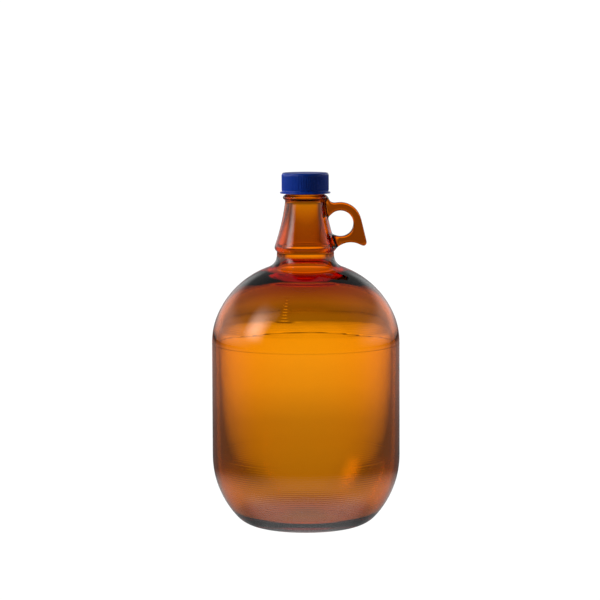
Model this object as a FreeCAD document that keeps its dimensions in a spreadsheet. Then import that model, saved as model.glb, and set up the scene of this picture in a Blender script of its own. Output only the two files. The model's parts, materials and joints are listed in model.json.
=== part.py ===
"""A one gallon glass jug with a ring handle, closed by a ribbed screw cap with a sealing liner.

Frame: millimetres, +Z up along the jug's axis, the origin in the middle of the ring that it stands on,
and the handle on the +X side. Every sub-part is drawn at rest: the cap screwed down on the rim.
"""
import FreeCAD, Part
import math
import os

import Sketcher

doc = FreeCAD.newDocument("growler")

# ---------------------------------------------------------------- driving dimensions
SIZES = {
    # jug, outside
    "body_radius": 84.0,
    "heel_radius": 80.3,            # long curve from the side down towards the foot
    "heel_turn": 42.7,              # degrees that it turns before the tighter foot curve
    "foot_radius": 25.7,            # tight curve that runs into the bearing ring
    "bearing_inner_radius": 37.0,
    "push_up": 3.5,                 # how far the middle of the base stands off the table
    "shoulder_start": 163.9,        # height where the straight side ends
    "shoulder_radius": 61.7,
    "shoulder_turn": 22.3,
    "dome_radius": 78.0,
    "flare_radius": 11.0,           # hollow curve between the dome and the neck
    "waist_radius": 25.5,
    "undercut_radius": 1.5,
    "collar_height": 248.8,         # the rounded collar at the foot of the neck
    "collar_radius": 27.6,
    "collar_round": 4.0,
    "neck_sweep": 193.0,            # the neck's slightly hollow side
    "neck_top_radius": 17.75,
    "bead_height": 293.2,
    "bead_radius": 20.2,
    "bead_round": 2.2,
    # jug, mouth and inside
    "finish_radius": 17.5,
    "rim_height": 311.7,
    "rim_round": 0.9,
    "mouth_round": 0.7,
    "bore_radius": 14.2,
    "bore_end": 294.0,              # where the bore starts to widen
    "inner_sweep": 140.0,           # the neck's hollow side, on the inside
    "inner_collar": 8.0,            # the curve inside the collar
    "neck_wall": 4.2,               # at the waist
    "inner_flare": 18.0,
    "inner_flare_drop": 2.0,        # how far its centre lies under the outer one's
    "inner_dome_radius": 61.0,      # tighter than the outside, so the glass thickens towards the neck
    "wall": 3.6,                    # at the side
    "inner_floor": 8.0,
    "inner_foot_radius": 20.0,
    # thread, right-handed, six turns to the inch
    "thread_lead": 4.2333,
    "thread_turns": 1.5,
    "thread_start": 300.0,
    "thread_crest": 18.65,
    "thread_root_half": 1.35,
    "thread_crest_half": 0.55,
    # handle
    "ring_offset": 31.2,
    "ring_height": 270.1,
    "ring_hole_radius": 11.5,
    "ring_band": 7.4,
    "handle_thickness": 11.0,
    "handle_rounding": 1.2,
    "web_radius": 19.0,             # where the top of the handle leaves the bead
    "web_height": 294.4,
    "web_hollow": 7.0,
    "grip_lean": 13.5,              # degrees from upright of the handle's outer side
    "tip_round": 3.0,
    "underside_offset": 40.3,
    "underside_height": 235.1,
    "underside_radius": 18.2,
    "root_radius": 26.5,            # where the underside ends, inside the collar
    "handle_inset": 15.0,           # how near the axis the handle's plate starts
    # cap
    "cap_height": 18.2,
    "cap_top": 2.0,
    "cap_wall_radius": 20.5,
    "cap_inner_radius": 19.1,
    "cap_edge_round": 0.9,
    "flange_radius": 22.4,
    "flange_height": 1.6,
    "flange_edge": 1.1,
    "flange_round": 0.3,
    "entry_chamfer": 0.5,
    "rib_count": 90,
    "rib_radius": 21.0,
    "rib_root_half": 0.45,
    "rib_crest_half": 0.2,
    "rib_sink": 0.2,                # how deep a rib's root reaches into the wall
    "rib_top_gap": 1.3,
    "cap_thread_crest": 17.85,
    "cap_thread_turns": 1.25,
    "cap_thread_drop": 1.75,        # how far the cap's thread sits under the jug's thread
    "cap_thread_root_half": 0.95,
    "cap_thread_crest_half": 0.35,
    "thread_sink": 0.3,             # how deep a thread's root reaches into its wall
    # liner
    "liner_thickness": 1.4,
    "liner_radius": 18.6,
    "liner_round": 0.2,
    "snap_radius": 18.4,            # the low ridge in the cap that keeps the liner in
    "snap_gap": 0.6,
    "snap_half": 0.6,
}

sheet = doc.addObject("Spreadsheet::Sheet", "Dims")
for row, (alias, value) in enumerate(SIZES.items(), start=1):
    sheet.set(f"A{row}", alias)
    sheet.set(f"B{row}", str(value))
    sheet.setAlias(f"B{row}", alias)
doc.recompute()


def dim(alias):
    """One driving dimension, read back from the sheet."""
    return float(sheet.get(alias))


TOUCH = 0.01                # two places nearer than this count as the same
MOUTH_OVERRUN = 2.0         # how far the cut for the hollow runs past the rim


# ---------------------------------------------------------------- helpers
def polar(centre, radius, degrees):
    """The point at an angle on a circle."""
    angle = math.radians(degrees)
    return (centre[0] + radius * math.cos(angle), centre[1] + radius * math.sin(angle))


def bearing(centre, point):
    """The angle, in degrees, from a circle's centre to a point."""
    return math.degrees(math.atan2(point[1] - centre[1], point[0] - centre[0]))


def meet(centre_a, reach_a, centre_b, reach_b, side):
    """The point at two given distances from two centres, left (+1) or right (-1) of the line a to b."""
    dx = centre_b[0] - centre_a[0]
    dz = centre_b[1] - centre_a[1]
    span = math.hypot(dx, dz)
    along = (reach_a ** 2 - reach_b ** 2 + span ** 2) / (2 * span)
    across = side * math.sqrt(reach_a ** 2 - along ** 2)
    return (centre_a[0] + (along * dx - across * dz) / span,
            centre_a[1] + (along * dz + across * dx) / span)


def origin_plane(body, role):
    """One of a body's own origin planes or axes."""
    return next(item for item in body.Origin.OriginFeatures if item.Role == role)


def new_body(name):
    """An empty body whose label names its sub-part."""
    body = doc.addObject("PartDesign::Body", name)
    body.Label = name
    return body


class Outline:
    """A closed chain of lines and arcs in one sketch, each piece starting where the last one ended."""

    def __init__(self, body, name, role):
        self.sketch = body.newObject("Sketcher::SketchObject", name)
        self.sketch.AttachmentSupport = [(origin_plane(body, role), "")]
        self.sketch.MapMode = "FlatFace"
        self.start = None
        self.end = None
        self.end_point = None

    def _chain(self, index, start, end, end_point, smooth):
        if self.end is None:
            self.start = (index, start)
        else:
            kind = "Tangent" if smooth else "Coincident"
            self.sketch.addConstraint(Sketcher.Constraint(kind, *self.end, index, start))
        self.end = (index, end)
        self.end_point = end_point
        return index

    def begin(self, point):
        """Set where the first piece starts."""
        self.end_point = point

    def line(self, point, smooth=False):
        """A straight piece to a point; smooth makes it tangent to the piece before it."""
        tail = FreeCAD.Vector(*self.end_point, 0)
        index = self.sketch.addGeometry(Part.LineSegment(tail, FreeCAD.Vector(*point, 0)), False)
        return self._chain(index, 1, 2, point, smooth)

    def arc(self, centre, radius, start, end, smooth=True):
        """A round piece from one angle to another, in degrees; it turns left if end is the larger."""
        low, high = sorted((math.radians(start), math.radians(end)))
        circle = Part.Circle(FreeCAD.Vector(*centre, 0), FreeCAD.Vector(0, 0, 1), radius)
        index = self.sketch.addGeometry(Part.ArcOfCircle(circle, low, high), False)
        ends = (1, 2) if end > start else (2, 1)
        return self._chain(index, *ends, polar(centre, radius, end), smooth)

    def close(self):
        """Join the last piece to the first."""
        self.sketch.addConstraint(Sketcher.Constraint("Coincident", *self.end, *self.start))

    def settle(self):
        """Solve the sketch, and stop if its constraints disagree."""
        if self.sketch.solve() != 0:
            raise RuntimeError(f"{self.sketch.Name} does not solve")

    def size(self, alias, kind, *where, less=None, plus=None):
        """A dimension whose value is the cell of that name, less or plus another one if that's given."""
        value = dim(alias)
        formula = f"Dims.{alias}"
        if less:
            value -= dim(less)
            formula += f" - Dims.{less}"
        if plus:
            value += dim(plus)
            formula += f" + Dims.{plus}"
        number = self.sketch.addConstraint(Sketcher.Constraint(kind, *where, value))
        self.sketch.renameConstraint(number, alias)
        self.sketch.setExpression(f"Constraints.{alias}", formula)

    def rule(self, kind, *where):
        """A constraint with no size, such as Vertical."""
        self.sketch.addConstraint(Sketcher.Constraint(kind, *where))


def revolved(body, kind, outline, name):
    """A full turn of an outline about the body's axis: a Revolution adds, a Groove cuts."""
    feature = body.newObject(f"PartDesign::{kind}", name)
    feature.Profile = outline.sketch
    feature.ReferenceAxis = (outline.sketch, ["V_Axis"])
    feature.Angle = 360
    doc.recompute()
    return feature


def threaded(body, name, root, crest, height, root_half, crest_half, turns_alias):
    """A right-handed ridge of trapezoid section wound round the body's axis; root and crest are radii."""
    outline = Outline(body, name + "_section", "XZ_Plane")
    outline.begin((root, height - root_half))
    outline.line((crest, height - crest_half))
    outline.line((crest, height + crest_half))
    outline.line((root, height + root_half))
    outline.line((root, height - root_half))
    outline.close()
    outline.settle()
    ridge = body.newObject("PartDesign::AdditiveHelix", name)
    ridge.Profile = outline.sketch
    ridge.ReferenceAxis = (outline.sketch, ["V_Axis"])
    ridge.Mode = "pitch-turns-angle"
    ridge.setExpression("Pitch", "Dims.thread_lead")
    ridge.setExpression("Turns", "Dims." + turns_alias)
    ridge.LeftHanded = False
    ridge.Reversed = False
    ridge.HasBeenEdited = True
    doc.recompute()
    return ridge


# ---------------------------------------------------------------- the jug's circles
HEEL = (dim("body_radius") - dim("heel_radius"),
        (dim("heel_radius") - dim("foot_radius")) * math.sin(math.radians(dim("heel_turn")))
        + dim("foot_radius"))
FOOT = polar(HEEL, dim("heel_radius") - dim("foot_radius"), -dim("heel_turn"))
SHOULDER = (dim("body_radius") - dim("shoulder_radius"), dim("shoulder_start"))
DOME = polar(SHOULDER, dim("shoulder_radius") - dim("dome_radius"), dim("shoulder_turn"))
FLARE_X = dim("waist_radius") + dim("flare_radius")
FLARE_REACH = dim("dome_radius") + dim("flare_radius")
FLARE = (FLARE_X, DOME[1] + math.sqrt(FLARE_REACH ** 2 - (FLARE_X - DOME[0]) ** 2))
COLLAR = (dim("collar_radius") - dim("collar_round"), dim("collar_height"))
UNDERCUT_X = dim("waist_radius") + dim("undercut_radius")
UNDERCUT_REACH = dim("collar_round") + dim("undercut_radius")
UNDERCUT = (UNDERCUT_X, COLLAR[1] - math.sqrt(UNDERCUT_REACH ** 2 - (UNDERCUT_X - COLLAR[0]) ** 2))
BEAD = (dim("bead_radius") - dim("bead_round"), dim("bead_height"))
NECK_TOP = (dim("neck_top_radius"), dim("bead_height") - dim("bead_round"))
NECK = meet(COLLAR, dim("neck_sweep") + dim("collar_round"), NECK_TOP, dim("neck_sweep"), -1)


def jug_outside(body):
    """The blown and pressed outside of the jug, with the finish that carries the thread, as one turning."""
    body_radius = dim("body_radius")
    base_radius = (dim("bearing_inner_radius") ** 2 + dim("push_up") ** 2) / (2 * dim("push_up"))
    base = (0.0, dim("push_up") - base_radius)
    finish = dim("finish_radius")
    rim = dim("rim_height")
    rim_round = dim("rim_round")

    outline = Outline(body, "outside", "XZ_Plane")
    inner_edge = (dim("bearing_inner_radius"), 0.0)
    punt = outline.arc(base, base_radius, 90.0, bearing(base, inner_edge), smooth=False)
    ring = outline.line((FOOT[0], 0.0))
    foot = outline.arc(FOOT, dim("foot_radius"), -90.0, -dim("heel_turn"))
    heel = outline.arc(HEEL, dim("heel_radius"), -dim("heel_turn"), 0.0)
    side = outline.line((body_radius, SHOULDER[1]), smooth=True)
    shoulder = outline.arc(SHOULDER, dim("shoulder_radius"), 0.0, dim("shoulder_turn"))
    dome = outline.arc(DOME, dim("dome_radius"), dim("shoulder_turn"), bearing(DOME, FLARE))
    flare = outline.arc(FLARE, dim("flare_radius"), bearing(FLARE, DOME) + 360.0, 180.0)
    waist = outline.line((dim("waist_radius"), UNDERCUT[1]), smooth=True)
    undercut = outline.arc(UNDERCUT, dim("undercut_radius"), 180.0, bearing(UNDERCUT, COLLAR))
    collar = outline.arc(COLLAR, dim("collar_round"), bearing(COLLAR, UNDERCUT), bearing(COLLAR, NECK))
    neck = outline.arc(NECK, dim("neck_sweep"), bearing(NECK, COLLAR), bearing(NECK, NECK_TOP))
    under_bead = outline.line((BEAD[0], NECK_TOP[1]))
    bead = outline.arc(BEAD, dim("bead_round"), -90.0, 90.0, smooth=False)
    ledge = outline.line((finish, outline.end_point[1]))
    wall = outline.line((finish, rim - rim_round))
    edge = outline.arc((finish - rim_round, rim - rim_round), rim_round, 0.0, 90.0)
    top = outline.line((0.0, rim), smooth=True)
    axis = outline.line((0.0, dim("push_up")))
    outline.close()

    outline.rule("PointOnObject", punt, 3, -2)
    outline.rule("PointOnObject", ring, 1, -1)
    outline.rule("Horizontal", ring)
    outline.rule("Vertical", side)
    outline.rule("Vertical", waist)
    outline.rule("Horizontal", under_bead)
    outline.rule("Vertical", bead, 1, bead, 3)
    outline.rule("Vertical", bead, 2, bead, 3)
    outline.rule("Horizontal", ledge)
    outline.rule("Vertical", wall)
    outline.rule("Horizontal", top)
    outline.rule("PointOnObject", axis, 1, -2)
    outline.rule("PointOnObject", axis, 2, -2)
    outline.size("bearing_inner_radius", "DistanceX", -1, 1, ring, 1)
    outline.size("push_up", "DistanceY", -1, 1, axis, 2)
    outline.size("body_radius", "DistanceX", -1, 1, side, 1)
    outline.size("shoulder_start", "DistanceY", -1, 1, side, 2)
    outline.size("waist_radius", "DistanceX", -1, 1, waist, 1)
    outline.size("collar_height", "DistanceY", -1, 1, collar, 3)
    outline.size("collar_radius", "DistanceX", -1, 1, collar, 3, less="collar_round")
    outline.size("neck_top_radius", "DistanceX", -1, 1, neck, 1)
    outline.size("bead_height", "DistanceY", -1, 1, bead, 3)
    outline.size("bead_radius", "DistanceX", -1, 1, bead, 3, less="bead_round")
    outline.size("finish_radius", "DistanceX", -1, 1, wall, 1)
    outline.size("rim_height", "DistanceY", -1, 1, top, 2)
    for alias, piece in (("foot_radius", foot), ("heel_radius", heel), ("shoulder_radius", shoulder),
                         ("dome_radius", dome), ("flare_radius", flare), ("undercut_radius", undercut),
                         ("collar_round", collar), ("neck_sweep", neck), ("bead_round", bead),
                         ("rim_round", edge)):
        outline.size(alias, "Radius", piece)
    outline.settle()
    return revolved(body, "Revolution", outline, "outer_form")


def jug_inside(body):
    """The hollow: floor, foot, side, shoulder, neck and bore, cut as one turning through the rim."""
    wall = dim("wall")
    bore = dim("bore_radius")
    rim = dim("rim_height")
    mouth_round = dim("mouth_round")
    inner_heel = dim("heel_radius") - wall
    inner_foot = dim("inner_foot_radius")
    foot_drop = HEEL[1] - dim("inner_floor") - inner_foot
    foot_turn = math.degrees(math.asin(foot_drop / (inner_heel - inner_foot)))
    foot_centre = polar(HEEL, inner_heel - inner_foot, -foot_turn)
    inner_waist = dim("waist_radius") - dim("neck_wall")
    inner_flare = dim("inner_flare")
    inner_dome = dim("inner_dome_radius")
    flare_centre = (inner_waist + inner_flare, FLARE[1] - dim("inner_flare_drop"))
    dome_centre = meet(SHOULDER, inner_dome + wall - dim("shoulder_radius"),
                       flare_centre, inner_dome + inner_flare, 1)
    dome_turn = bearing(dome_centre, SHOULDER)
    dome_end = bearing(dome_centre, flare_centre)
    # the neck's inner side follows the outer one down from the bore, then turns back at the collar
    sweep_radius = dim("inner_sweep")
    sweep_centre = (bore + sweep_radius, dim("bore_end"))
    collar_radius = dim("inner_collar")
    collar_x = inner_waist - collar_radius
    collar_drop = math.sqrt((sweep_radius + collar_radius) ** 2 - (sweep_centre[0] - collar_x) ** 2)
    collar_centre = (collar_x, dim("bore_end") - collar_drop)
    collar_turn = bearing(collar_centre, sweep_centre)

    outline = Outline(body, "inside", "XZ_Plane")
    outline.begin((0.0, dim("inner_floor")))
    floor = outline.line((foot_centre[0], dim("inner_floor")))
    foot = outline.arc(foot_centre, inner_foot, -90.0, -foot_turn)
    heel = outline.arc(HEEL, inner_heel, -foot_turn, 0.0)
    side = outline.line((dim("body_radius") - wall, SHOULDER[1]), smooth=True)
    shoulder = outline.arc(SHOULDER, dim("shoulder_radius") - wall, 0.0, dome_turn)
    dome = outline.arc(dome_centre, inner_dome, dome_turn, dome_end)
    flare = outline.arc(flare_centre, inner_flare, dome_end + 180.0, 180.0)
    waist = outline.line((inner_waist, collar_centre[1]), smooth=True)
    collar = outline.arc(collar_centre, collar_radius, 0.0, collar_turn)
    sweep = outline.arc(sweep_centre, sweep_radius, collar_turn + 180.0, 180.0)
    straight = outline.line((bore, rim - mouth_round), smooth=True)
    lip = outline.arc((bore + mouth_round, rim - mouth_round), mouth_round, 180.0, 90.0)
    outline.line((bore + mouth_round, rim + MOUTH_OVERRUN))
    lid = outline.line((0.0, rim + MOUTH_OVERRUN))
    axis = outline.line((0.0, dim("inner_floor")))
    outline.close()

    for piece in (floor, lid):
        outline.rule("Horizontal", piece)
    for piece in (side, waist, straight, axis):
        outline.rule("Vertical", piece)
    outline.rule("PointOnObject", floor, 1, -2)
    outline.size("inner_floor", "DistanceY", -1, 1, floor, 1)
    outline.size("body_radius", "DistanceX", -1, 1, side, 1, less="wall")
    outline.size("shoulder_start", "DistanceY", -1, 1, side, 2)
    outline.size("bore_radius", "DistanceX", -1, 1, straight, 1)
    outline.size("rim_height", "DistanceY", -1, 1, lip, 3, less="mouth_round")
    outline.size("inner_foot_radius", "Radius", foot)
    outline.size("heel_radius", "Radius", heel, less="wall")
    outline.size("shoulder_radius", "Radius", shoulder, less="wall")
    outline.size("inner_dome_radius", "Radius", dome)
    outline.size("inner_flare", "Radius", flare)
    outline.size("inner_collar", "Radius", collar)
    outline.size("inner_sweep", "Radius", sweep)
    outline.size("waist_radius", "DistanceX", -1, 1, waist, 1, less="neck_wall")
    outline.size("bore_end", "DistanceY", -1, 1, sweep, 3)
    outline.size("mouth_round", "Radius", lip)
    outline.rule("DistanceY", -1, 1, flare, 3, flare_centre[1])
    outline.settle()
    return revolved(body, "Groove", outline, "hollow")


def jug_handle(body):
    """The ring handle: a flat plate with a finger hole and rounded edges, which the neck then swallows."""
    ring = (dim("ring_offset"), dim("ring_height"))
    ring_radius = dim("ring_hole_radius") + dim("ring_band")
    hollow = dim("web_hollow")
    tip_round = dim("tip_round")
    under = (dim("underside_offset"), dim("underside_height"))
    under_radius = dim("underside_radius")
    web_start = (dim("web_radius"), dim("web_height"))
    web = meet(ring, ring_radius + hollow, web_start, hollow, -1)
    lean = dim("grip_lean")
    # the tip's circle touches the outer side, which leans, and the hollow underside
    slope = math.radians(lean)
    side_top = polar(ring, ring_radius, lean)
    inset = (side_top[0] - tip_round * math.cos(slope), side_top[1] - tip_round * math.sin(slope))
    along = (under[0] - inset[0]) * math.sin(slope) - (under[1] - inset[1]) * math.cos(slope)
    foot = (inset[0] + along * math.sin(slope), inset[1] - along * math.cos(slope))
    back = math.sqrt((under_radius + tip_round) ** 2 - math.dist(foot, under) ** 2)
    tip = (foot[0] - back * math.sin(slope), foot[1] + back * math.cos(slope))
    root_rise = math.sqrt(under_radius ** 2 - (under[0] - dim("root_radius")) ** 2)
    root = (dim("root_radius"), under[1] + root_rise)

    outline = Outline(body, "plate_outline", "XZ_Plane")
    outline.begin((dim("handle_inset"), dim("web_height")))
    top = outline.line(web_start)
    web_arc = outline.arc(web, hollow, bearing(web, web_start) + 360.0, bearing(web, ring) + 360.0,
                          smooth=False)
    crown = outline.arc(ring, ring_radius, bearing(ring, web), lean)
    side = outline.line(polar(tip, tip_round, lean), smooth=True)
    tip_arc = outline.arc(tip, tip_round, lean, bearing(tip, under))
    underside = outline.arc(under, under_radius, bearing(under, tip), bearing(under, root))
    bottom = outline.line((dim("handle_inset"), root[1]))
    inner = outline.line((dim("handle_inset"), dim("web_height")))
    outline.close()
    outline.rule("Horizontal", top)
    outline.rule("Horizontal", bottom)
    outline.rule("Vertical", inner)
    outline.size("handle_inset", "DistanceX", -1, 1, inner, 1)
    outline.size("web_radius", "DistanceX", -1, 1, top, 2)
    outline.size("web_height", "DistanceY", -1, 1, top, 2)
    outline.size("ring_offset", "DistanceX", -1, 1, crown, 3)
    outline.size("ring_height", "DistanceY", -1, 1, crown, 3)
    outline.size("underside_offset", "DistanceX", -1, 1, underside, 3)
    outline.size("underside_height", "DistanceY", -1, 1, underside, 3)
    outline.size("root_radius", "DistanceX", -1, 1, underside, 2)
    outline.size("ring_hole_radius", "Radius", crown, plus="ring_band")
    outline.size("web_hollow", "Radius", web_arc)
    outline.size("tip_round", "Radius", tip_arc)
    outline.size("underside_radius", "Radius", underside)
    outline.settle()

    plate = body.newObject("PartDesign::Pad", "plate")
    plate.Profile = outline.sketch
    plate.SideType = "Symmetric"
    plate.setExpression("Length", "Dims.handle_thickness")

    hole = Outline(body, "finger_circle", "XZ_Plane")
    circle = Part.Circle(FreeCAD.Vector(*ring, 0), FreeCAD.Vector(0, 0, 1), dim("ring_hole_radius"))
    index = hole.sketch.addGeometry(circle, False)
    hole.size("ring_hole_radius", "Radius", index)
    hole.size("ring_offset", "DistanceX", -1, 1, index, 3)
    hole.size("ring_height", "DistanceY", -1, 1, index, 3)
    hole.settle()
    doc.recompute()
    before = plate.Shape.Volume
    cut = body.newObject("PartDesign::Pocket", "finger_hole")
    cut.Profile = hole.sketch
    cut.SideType = "Symmetric"
    cut.Type = "ThroughAll"
    doc.recompute()
    removed = math.pi * dim("ring_hole_radius") ** 2 * dim("handle_thickness")
    if abs(before - cut.Shape.Volume - removed) > 1.0:
        raise RuntimeError("the finger hole is not cut through")

    half = dim("handle_thickness") / 2
    rims = []
    for number, edge in enumerate(cut.Shape.Edges, start=1):
        box = edge.BoundBox
        on_face = abs(abs(box.Center.y) - half) < TOUCH and box.YLength < TOUCH
        if on_face and box.XMax > dim("root_radius") + TOUCH:
            rims.append(f"Edge{number}")
    rounded = body.newObject("PartDesign::Fillet", "handle_edges")
    rounded.Base = (cut, rims)
    rounded.setExpression("Radius", "Dims.handle_rounding")
    doc.recompute()
    return rounded


def make_bottle():
    """The jug: handle plate, turned outside, thread and hollow, all one piece of amber glass."""
    body = new_body("bottle")
    jug_handle(body)
    jug_outside(body)
    threaded(body, "finish_thread", dim("finish_radius") - dim("thread_sink"), dim("thread_crest"),
             dim("thread_start"), dim("thread_root_half"), dim("thread_crest_half"), "thread_turns")
    hollow = jug_inside(body)
    body.Tip = hollow
    return body


# ---------------------------------------------------------------- the cap
def make_cap():
    """The moulded cap, drawn from its open edge upwards and placed so that its liner meets the rim."""
    body = new_body("cap")
    height = dim("cap_height")
    wall = dim("cap_wall_radius")
    inner = dim("cap_inner_radius")
    ceiling = height - dim("cap_top")
    edge = dim("cap_edge_round")
    flange = dim("flange_radius")
    flange_round = dim("flange_round")
    chamfer = dim("entry_chamfer")
    snap_height = ceiling - dim("liner_thickness") - dim("snap_gap")
    snap_half = dim("snap_half")

    outline = Outline(body, "cap_section", "XZ_Plane")
    outline.begin((inner + chamfer, 0.0))
    foot = outline.line((flange - flange_round, 0.0))
    lower = outline.arc((flange - flange_round, flange_round), flange_round, -90.0, 0.0)
    outline.line((flange, dim("flange_edge")), smooth=True)
    flange_top = outline.line((wall, dim("flange_height")))
    side = outline.line((wall, height - edge))
    crown = outline.arc((wall - edge, height - edge), edge, 0.0, 90.0)
    top = outline.line((0.0, height), smooth=True)
    axis = outline.line((0.0, ceiling))
    roof = outline.line((inner, ceiling))
    outline.line((inner, snap_height + snap_half))
    outline.line((dim("snap_radius"), snap_height))
    outline.line((inner, snap_height - snap_half))
    bore = outline.line((inner, chamfer))
    outline.line((inner + chamfer, 0.0))
    outline.close()
    outline.rule("PointOnObject", foot, 1, -1)
    for piece in (foot, top, roof):
        outline.rule("Horizontal", piece)
    for piece in (side, axis, bore):
        outline.rule("Vertical", piece)
    outline.rule("PointOnObject", axis, 1, -2)
    outline.size("cap_height", "DistanceY", -1, 1, top, 2)
    outline.size("cap_top", "DistanceY", axis, 2, axis, 1)
    outline.size("cap_wall_radius", "DistanceX", -1, 1, side, 1)
    outline.size("cap_inner_radius", "DistanceX", -1, 1, bore, 1)
    outline.size("flange_height", "DistanceY", -1, 1, flange_top, 2)
    outline.size("flange_edge", "DistanceY", -1, 1, flange_top, 1)
    outline.size("flange_radius", "DistanceX", -1, 1, flange_top, 1)
    outline.size("cap_edge_round", "Radius", crown)
    outline.size("flange_round", "Radius", lower)
    outline.settle()
    revolved(body, "Revolution", outline, "shell")

    rib = Outline(body, "rib_section", "XY_Plane")
    rib.sketch.setExpression("AttachmentOffset.Base.z", "Dims.flange_edge")
    root = wall - dim("rib_sink")
    rib.begin((root, -dim("rib_root_half")))
    rib.line((dim("rib_radius"), -dim("rib_crest_half")))
    crest = rib.line((dim("rib_radius"), dim("rib_crest_half")))
    rib.line((root, dim("rib_root_half")))
    base = rib.line((root, -dim("rib_root_half")))
    rib.close()
    rib.rule("Vertical", crest)
    rib.rule("Vertical", base)
    rib.size("rib_radius", "DistanceX", -1, 1, crest, 1)
    rib.size("cap_wall_radius", "DistanceX", -1, 1, base, 1, less="rib_sink")
    rib.settle()
    single = body.newObject("PartDesign::Pad", "rib")
    single.Profile = rib.sketch
    single.setExpression("Length", "Dims.cap_height - Dims.flange_edge - Dims.rib_top_gap")
    doc.recompute()
    ribs = body.newObject("PartDesign::PolarPattern", "ribs")
    ribs.Originals = [single]
    ribs.Axis = (origin_plane(body, "Z_Axis"), [""])
    ribs.Angle = 360
    ribs.setExpression("Occurrences", "Dims.rib_count")
    body.Tip = ribs
    doc.recompute()

    start = dim("thread_start") - dim("cap_thread_drop") - cap_base()
    thread = threaded(body, "cap_thread", inner + dim("thread_sink"), dim("cap_thread_crest"), start,
                      dim("cap_thread_root_half"), dim("cap_thread_crest_half"), "cap_thread_turns")
    body.Tip = thread
    body.setExpression("Placement.Base.z",
                       "Dims.rim_height + Dims.liner_thickness + Dims.cap_top - Dims.cap_height")
    return body


def cap_base():
    """The height of the cap's open edge when it is screwed down."""
    return dim("rim_height") + dim("liner_thickness") + dim("cap_top") - dim("cap_height")


# ---------------------------------------------------------------- the liner
def make_liner():
    """The round sealing disc between the cap's ceiling and the rim, with softened edges."""
    disc = doc.addObject("Part::Cylinder", "liner_disc")
    disc.setExpression("Radius", "Dims.liner_radius")
    disc.setExpression("Height", "Dims.liner_thickness")
    doc.recompute()
    soft = doc.addObject("Part::Fillet", "cap_liner")
    soft.Base = disc
    rounds = dim("liner_round")
    soft.Edges = [(number, rounds, rounds) for number, edge in enumerate(disc.Shape.Edges, start=1)
                  if edge.Closed and not edge.isSeam(disc.Shape.Faces[0])]
    soft.Label = "cap_liner"
    soft.setExpression("Placement.Base.z", "Dims.rim_height")
    return soft


# ---------------------------------------------------------------- build, check and write
SUB_PARTS = [make_bottle(), make_cap(), make_liner()]
doc.recompute()

for item in doc.Objects:
    if "Invalid" in item.State or "Error" in item.State:
        raise RuntimeError(f"{item.Name} did not build: {item.State}")

os.makedirs("parts", exist_ok=True)
for part in SUB_PARTS:
    shape = part.Shape
    if shape.isNull() or not shape.isValid() or len(shape.Solids) != 1:
        raise RuntimeError(f"{part.Label} is not one valid solid")
    shape.exportStep(f"parts/{part.Label}.step")
    box = shape.BoundBox
    print(f"{part.Label}: {shape.Volume:.0f} mm3, x {box.XMin:.2f}..{box.XMax:.2f},"
          f" z {box.ZMin:.2f}..{box.ZMax:.2f}")
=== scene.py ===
"""A one gallon amber glass jug with a ring handle, a ribbed blue screw cap and a white liner, in a studio."""

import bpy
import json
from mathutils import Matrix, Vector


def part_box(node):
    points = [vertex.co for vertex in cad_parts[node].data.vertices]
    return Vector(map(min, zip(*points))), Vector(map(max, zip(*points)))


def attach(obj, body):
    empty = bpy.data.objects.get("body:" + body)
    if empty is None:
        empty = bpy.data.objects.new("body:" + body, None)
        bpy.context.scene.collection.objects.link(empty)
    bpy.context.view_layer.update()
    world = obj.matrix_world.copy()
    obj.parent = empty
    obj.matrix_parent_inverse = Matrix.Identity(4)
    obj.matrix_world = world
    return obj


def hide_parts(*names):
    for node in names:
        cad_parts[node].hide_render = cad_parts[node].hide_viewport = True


bl_info = {
    "name": "Glass Jug Workshop",
    "version": (1, 0, 0),
    "blender": (4, 5, 0),
    "location": "View3D > Sidebar > Jug",
    "description": "Models a blown glass jug, its screw cap and liner round their frame, and the stage",
    "category": "Add Mesh",
}

import json
import math

import bmesh
import bpy
from mathutils import Matrix, Vector

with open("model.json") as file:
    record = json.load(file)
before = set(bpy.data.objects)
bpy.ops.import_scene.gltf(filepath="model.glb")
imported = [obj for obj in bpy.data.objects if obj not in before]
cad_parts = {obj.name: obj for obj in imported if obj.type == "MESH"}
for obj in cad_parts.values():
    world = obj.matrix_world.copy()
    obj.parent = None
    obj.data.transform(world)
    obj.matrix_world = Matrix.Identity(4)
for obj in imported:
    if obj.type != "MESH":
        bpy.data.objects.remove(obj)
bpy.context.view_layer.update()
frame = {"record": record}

MM = 0.001
AXIS = (0.0, 0.0, 1.0)
MERGE = 1e-6                            # points nearer than this are one point
COLLAR_ROOT = math.radians(-25.0)       # where the handle's root starts, as a turn round the collar's curve
HOLE_TOP = math.radians(140.0)          # where the finger hole's rim leaves the neck, as turns round the hole
HOLE_FOOT = math.radians(-112.0)
TIP_TURNS = (math.radians(-52.0), math.radians(-38.0))      # the part of the rim that faces the handle's tip
MOUNTS = {mount["name"]: mount for mount in frame["record"]["mounts"]}
JUG_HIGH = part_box("bottle")[1]
CAP_LOW, CAP_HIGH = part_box("cap")
LINER_LOW, LINER_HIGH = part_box("cap_liner")
RING = MOUNTS["finger_ring"]
FINISH_RADIUS = 17.5 * MM


def length(name, about, default):
    """A size in metres that the panel shows as a length."""
    return bpy.props.FloatProperty(name=name, description=about, default=default, unit="LENGTH", precision=5)


def angle(name, about, degrees):
    """An angle that the panel shows in degrees."""
    return bpy.props.FloatProperty(name=name, description=about, default=math.radians(degrees),
                                   subtype="ANGLE")


def amount(name, about, default):
    """A plain number."""
    return bpy.props.FloatProperty(name=name, description=about, default=default)


def count(name, about, default):
    """A whole number."""
    return bpy.props.IntProperty(name=name, description=about, default=default)


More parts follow.
